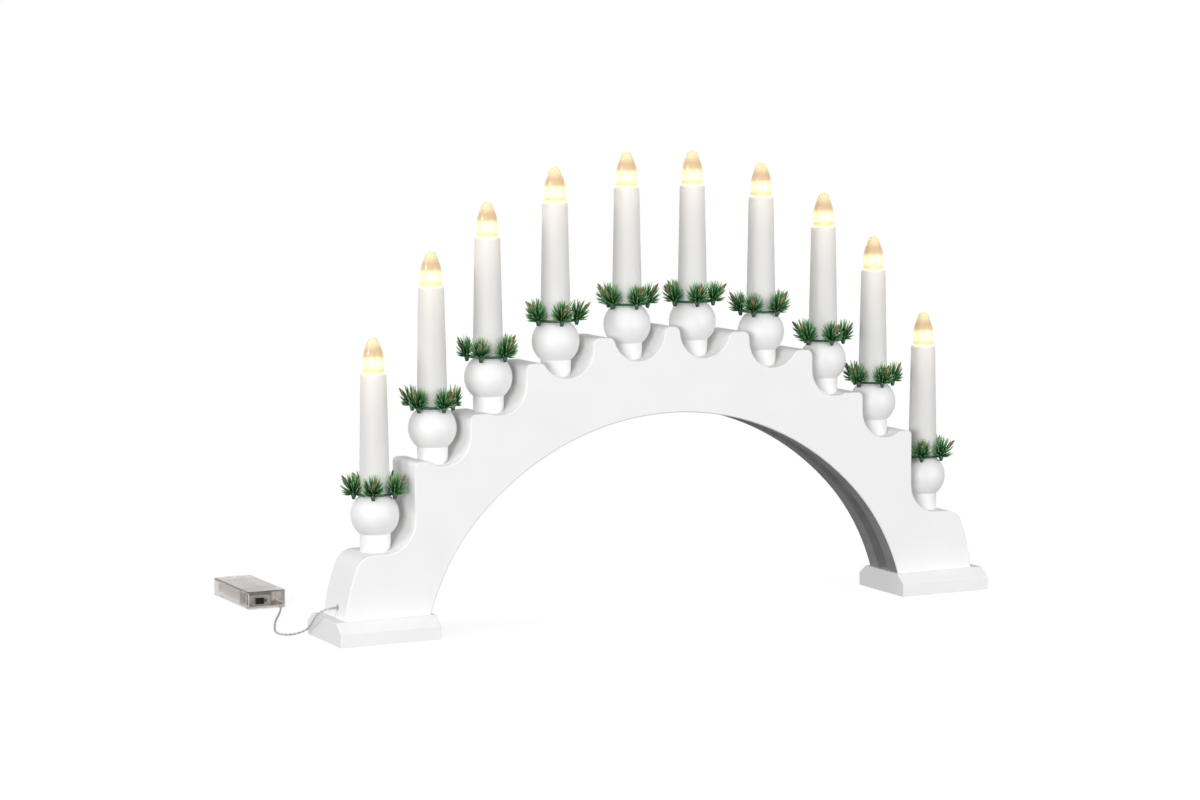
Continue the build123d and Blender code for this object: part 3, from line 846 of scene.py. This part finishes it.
bud_brown = new_finish("bud_brown", Roughness=0.5)
bud_tones = ramp(
    bud_brown,
    noise(bud_brown, 700, 3),
    [(0.35, (0.075, 0.047, 0.02)), (0.52, (0.17, 0.108, 0.045)), (0.68, (0.42, 0.34, 0.15))],
)
join(bud_brown, bud_tones, shader_of(bud_brown).inputs["Base Color"])
roughen(bud_brown, noise(bud_brown, 1500, 2), 0.00008)

wire_green = new_finish("ring_wire_green", Roughness=0.45)
mottle(wire_green, 500, (0.006, 0.045, 0.018), (0.015, 0.10, 0.04))
roughen(wire_green, noise(wire_green, 1400, 1), 0.00012)
print("evergreen finishes:", needle_green.name, bud_brown.name, wire_green.name)

# %% [markdown]
# Three steps make a ring. Five pine tips are set round the candle, a fifth of a turn apart.
# The wire is a small circle spun once round it, for which the operator needs each of the
# circle's edges once. Along the arch the needles are pressed in a little, so that a ring can
# be lifted past the next one. Past an outermost candle there is no next one, and a whole
# metre stands in for the gap.

# %% Steps of a ring
tips_a_ring = 5
squeeze_start = 0.0165
ring_clearance = 0.00025
gap_past_end = 1


def set_tips(ring, number):
    for step in range(tips_a_ring):
        before = len(ring.verts)
        ring.from_mesh(pine_tips[(number + step) % len(pine_tips)])
        ring.verts.ensure_lookup_table()
        fresh = ring.verts[before:]
        turn = radians(ring_turns[number - 1] + 360 // tips_a_ring * step)
        where = Vector((cos(turn), sin(turn), 0)) * tip_radius + Vector((0, 0, tip_raise))
        place = Matrix.Translation(where) @ Matrix.Rotation(turn, 4, "Z")
        bmesh.ops.transform(ring, matrix=place, verts=fresh)


def spin_wire(ring):
    known = set(ring.faces)
    section = bmesh.ops.create_circle(
        ring,
        segments=10,
        radius=ring_wire,
        matrix=Matrix.Translation((ring_radius, 0, wire_raise)) @ Matrix.Rotation(pi / 2, 4, "X"),
    )
    touching = [edge for vertex in section["verts"] for edge in vertex.link_edges]
    bmesh.ops.spin(
        ring,
        geom=section["verts"] + list(dict.fromkeys(touching)),
        cent=(0, 0, 0),
        axis=(0, 0, 1),
        angle=2 * pi,
        steps=64,
        use_merge=True,
    )
    wire_faces = [face for face in ring.faces if face not in known]
    for face in wire_faces:
        face.material_index = wire_slot
        face.smooth = True
    bmesh.ops.recalc_face_normals(ring, faces=wire_faces)


def half_way_to_next(x, way):
    """Room along the arch on one side of a candle, just short of half way to the next."""
    gaps = [abs(other - x) for other, _ in candles if (other - x) * way > 0]
    return min(gaps, default=gap_past_end) / 2 - ring_clearance


def press_in(ring, x):
    """Keeps what reaches far along the arch on this side of half way to the next candle."""
    for corner in ring.verts:
        way = 1 if corner.co.x > 0 else -1
        over = abs(corner.co.x) - squeeze_start
        room = min(half_way_to_next(x, way), outer_limit) - squeeze_start
        if over > 0:
            corner.co.x -= way * over * (1 - room / (outer_limit - squeeze_start))


middle_room = half_way_to_next(candles[4][0], 1)
print("room beside a middle candle in mm:", round(middle_room * 1000, 1))

# %% [markdown]
# Each ring is one mesh, moved to its candle. It stands for the plain ring of the solids and
# rides on that ring's body, so it lifts with it.


# %% Make the ten rings
def evergreen_ring(number, x, ball):
    ring = bmesh.new()
    set_tips(ring, number)
    spin_wire(ring)
    press_in(ring, x)
    bmesh.ops.translate(ring, verts=ring.verts, vec=(x, 0, ball + ring_height))
    mesh = bpy.data.meshes.new(f"evergreen_ring_{number:02d}")
    ring.to_mesh(mesh)
    ring.free()
    thing = into_scene(mesh.name, mesh)
    dress(thing, needle_green, bud_brown, wire_green)
    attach(thing, f"ring_{number:02d}")
    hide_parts(f"wreath_{number:02d}")
    return thing


evergreen = [evergreen_ring(number, x, ball) for number, (x, ball) in enumerate(candles, 1)]
print("rings:", len(evergreen), "faces of one:", len(evergreen[0].data.polygons))

# %% [markdown]
# ## The marks beside the switch
#
# Two small words are moulded beside the knob, to the right, in the same milky plastic. They
# start as text, become a mesh, and are laid on the panel with a small height.

# %% Mould the words on the switch panel
panel_recess = 0.0005
words_sink = 0.00008
words_gap = 0.0052
panel_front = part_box("battery_case")[0].y + panel_recess
knob_low, knob_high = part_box("switch_knob")
words = bpy.data.curves.new("switch_marks", "FONT")
words.body = "OFF  ON"
words.size = 0.0026
words.extrude = 0.00012
words.bevel_depth = 0.00002
words.align_x = "LEFT"
words.align_y = "CENTER"
words_object = into_scene("switch_marks_text", words)
marks = into_scene("switch_marks", bpy.data.meshes.new_from_object(words_object))
bpy.data.objects.remove(words_object)
knob_middle = (knob_low.z + knob_high.z) / 2
words_place = Vector((knob_high.x + words_gap, panel_front - words_sink, knob_middle))
marks.data.transform(Matrix.Translation(words_place) @ Matrix.Rotation(pi / 2, 4, "X"))
dress(marks, milky)
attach(marks, "arch")
print("words from", round(words_place.x, 4), "on the panel at", round(panel_front, 4))

# %% [markdown]
# ## Table and light
#
# The arch stands on a plain white table before a white studio. The camera sees the table
# nearly white, with the arch's soft shadow, and plain white further off, while the table
# throws back little light, so the arch's underside stays in shade. A Light Path node tells
# the two cases apart: it knows whether a ray comes from the camera, from a reflection,
# through clear plastic or from anywhere else.

# %% A plain white table
near_table, far_table = 0.35, 0.95


def seen_directly(owner):
    """1 where the camera, a reflection or clear plastic looks, and 0 for other light."""
    path = add_node(owner, "LightPath")
    total = path.outputs["Is Camera Ray"]
    for name in ("Is Glossy Ray", "Is Transmission Ray"):
        either = add_node(owner, "Math", operation="MAXIMUM")
        join(owner, total, either.inputs[0])
        join(owner, path.outputs[name], either.inputs[1])
        total = either.outputs[0]
    return total


def mix_shaders(owner, share, first, second):
    """The first shader where the share is 0 and the second where it is 1."""
    mixed = add_node(owner, "MixShader")
    for output, entry in zip((share, first, second), mixed.inputs):
        join(owner, output, entry)
    return mixed.outputs[0]


table_mesh = bmesh.new()
bmesh.ops.create_grid(table_mesh, x_segments=4, y_segments=4, size=20)
table_data = bpy.data.meshes.new("table")
table_mesh.to_mesh(table_data)
table_mesh.free()
table = into_scene("table", table_data)
table_white = bpy.data.materials.new("table_white")
table_white.use_nodes = True
table_white.node_tree.nodes.remove(shader_of(table_white))
thrown = add_node(table_white, "BsdfDiffuse", {"Color": (0.08, 0.08, 0.08, 1)})
shown = add_node(table_white, "BsdfDiffuse", {"Color": (0.32, 0.32, 0.32, 1)})
lift = add_node(table_white, "Emission", {"Strength": 0.83})
both = add_node(table_white, "AddShader")
join(table_white, shown.outputs[0], both.inputs[0])
join(table_white, lift.outputs[0], both.inputs[1])
spot = add_node(table_white, "TexCoord").outputs["Object"]
from_middle = add_node(table_white, "VectorMath", operation="LENGTH")
join(table_white, spot, from_middle.inputs[0])
far_share = add_node(table_white, "MapRange", {"From Min": near_table, "From Max": far_table})
join(table_white, from_middle.outputs["Value"], far_share.inputs["Value"])
plain = add_node(table_white, "Emission")
fade = far_share.outputs["Result"]
seen_table = mix_shaders(table_white, fade, both.outputs[0], plain.outputs[0])
whole_table = mix_shaders(table_white, seen_directly(table_white), thrown.outputs[0], seen_table)
table_end = table_white.node_tree.nodes["Material Output"]
join(table_white, whole_table, table_end.inputs["Surface"])
dress(table, table_white)
print("table:", table.name)

# %% [markdown]
# The world gives a soft even light and shows itself as white to the camera, in reflections
# and through clear plastic. The same node tells them apart.

# %% White studio
studio = bpy.data.worlds.new("white_studio")
bpy.context.scene.world = studio
studio.use_nodes = True
weak = studio.node_tree.nodes["Background"]
weak.inputs["Color"].default_value = (1, 1, 1, 1)
weak.inputs["Strength"].default_value = 0.46
bright = add_node(studio, "Background", {"Color": (1, 1, 1, 1), "Strength": 1.0})
whole_studio = mix_shaders(studio, seen_directly(studio), weak.outputs[0], bright.outputs[0])
join(studio, whole_studio, studio.node_tree.nodes["World Output"].inputs["Surface"])
print("studio:", studio.name)

# %% [markdown]
# Two wide soft lamps stand low at the front, right and left, so that faces which look up
# don't wash out, and a weak one stands in line with the arch, for all that looks left.

# %% Soft lamps
arch_middle = Vector((0, 0, 0.12))


def soft_lamp(name, place, size, power):
    """A lamp twice as wide as it is high, which faces the middle of the arch."""
    light = bpy.data.lights.new(name, "AREA")
    light.shape = "RECTANGLE"
    light.size = size
    light.size_y = size / 2
    light.energy = power
    lamp = into_scene(name, light)
    towards = arch_middle - Vector(place)
    turned = towards.to_track_quat("-Z", "Y").to_matrix().to_4x4()
    lamp.matrix_world = Matrix.Translation(place) @ turned
    return lamp


lamps = [
    soft_lamp("right_front_lamp", (1.3, -2.9, 0.45), 1.5, 47),
    soft_lamp("left_front_lamp", (-2.3, -2.2, 0.45), 1.4, 48),
    soft_lamp("left_lamp", (-2.6, -0.15, 1.1), 0.9, 20),
]
print("lamps:", [lamp.name for lamp in lamps])

# %% [markdown]
# ## Finish
#
# The picture keeps plain colours, so the view transform is Standard.

# %% Set the view transform
bpy.context.scene.view_settings.view_transform = "Standard"
